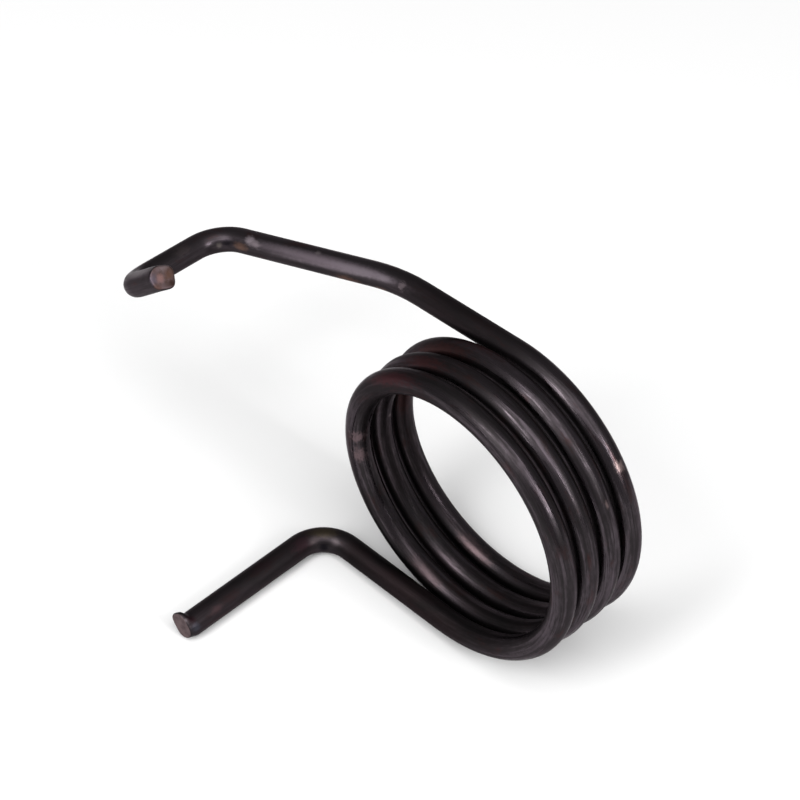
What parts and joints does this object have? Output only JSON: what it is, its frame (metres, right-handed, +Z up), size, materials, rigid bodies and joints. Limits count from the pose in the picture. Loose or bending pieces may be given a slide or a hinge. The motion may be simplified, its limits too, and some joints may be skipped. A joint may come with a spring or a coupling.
{
  "type": "torsion spring",
  "caption": "Left-hand helical torsion spring of round wire: a short axial lower leg, and a kinked upper leg that ends in a hook with a turned-in stub.",
  "frame": {"origin": "on the coil's axis, midway between the coil's ends", "axes": "+Y along the coil's axis, towards the back, where the upper leg leaves; +Z up, square to the floor that the turns and the lower leg lie on; the legs reach towards -X"},
  "size_m": [0.0666, 0.0375, 0.037],
  "materials": {
    "spring_steel": "satin black heat-treated oxide with a faint reddish-brown tint, drawn and scuffed by the tooling"
  },
  "bodies": {
    "root": {"spring_wire": "spring_steel"}
  },
  "joints": []
}
